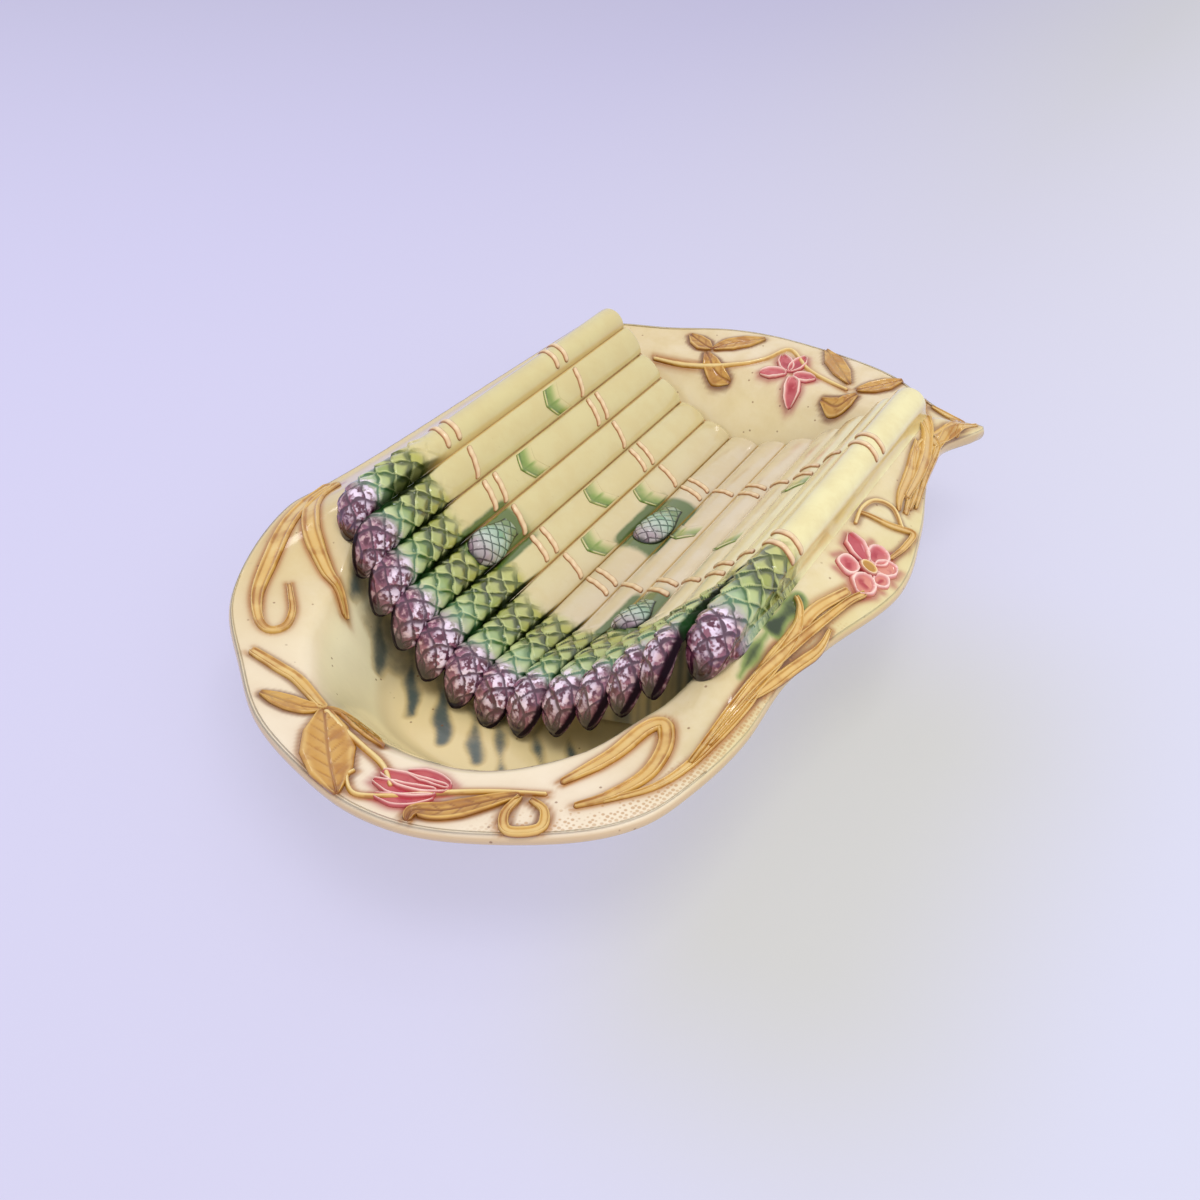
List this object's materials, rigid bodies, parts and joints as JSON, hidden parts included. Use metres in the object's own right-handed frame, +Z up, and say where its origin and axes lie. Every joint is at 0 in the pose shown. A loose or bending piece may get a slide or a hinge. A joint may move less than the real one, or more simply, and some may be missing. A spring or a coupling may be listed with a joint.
{
  "type": "asparagus plate",
  "caption": "Oval earthenware serving plate with a deep well and a raised trough of moulded asparagus spears tied with twine, and sprigged leaves and flowers on its rim.",
  "frame": {"origin": "middle of the whole plate's outline on the table, under the foot ring", "axes": "+X across the spears to the plate's right, +Y along the spears towards their butt ends, +Z up"},
  "size_m": [0.2552, 0.389, 0.0787],
  "materials": {
    "dish_glaze": "gloss cream lead glaze pooled honey brown",
    "bare_clay": "wiped glaze over buff clay",
    "cradle_glaze": "gloss cream glaze with grey green runs",
    "spear_glaze": "gloss cream shafts that run to green scaled heads with aubergine tips",
    "twine_glaze": "gloss pink brown stain under the glaze",
    "scale_glaze": "gloss green stain with purple tips",
    "petal_glaze": "gloss pink stain with a crimson heart",
    "centre_glaze": "gloss yellow brown stain",
    "leaf_glaze": "gloss caramel stain with pale crests"
  },
  "bodies": {
    "root": {"dish": "dish_glaze", "foot_ring": "bare_clay", "saddle": "cradle_glaze", "front_skirt": "cradle_glaze", "back_wall": "cradle_glaze", "spear_01": "spear_glaze", "spear_02": "spear_glaze", "spear_03": "spear_glaze", "spear_04": "spear_glaze", "spear_05": "spear_glaze", "spear_06": "spear_glaze", "spear_07": "spear_glaze", "spear_08": "spear_glaze", "spear_09": "spear_glaze", "spear_10": "spear_glaze", "spear_11": "spear_glaze", "spear_12": "spear_glaze", "spear_13": "spear_glaze", "loose_head_left": "scale_glaze", "loose_head_middle": "scale_glaze", "loose_head_right": "scale_glaze", "front_binding": "twine_glaze", "rear_binding": "twine_glaze", "bud_scales": "scale_glaze", "side_flower_petals": "petal_glaze", "side_flower_centre": "centre_glaze", "front_bud": "petal_glaze", "rear_flower": "petal_glaze", "front_spray": "leaf_glaze", "front_tendril": "leaf_glaze", "front_curled_leaf": "leaf_glaze", "left_folded_leaf": "leaf_glaze", "left_long_leaf": "leaf_glaze", "right_folded_leaf": "leaf_glaze", "right_reeds": "leaf_glaze", "reed_loops": "leaf_glaze", "corner_reeds": "leaf_glaze", "rear_spray": "leaf_glaze"}
  },
  "joints": []
}
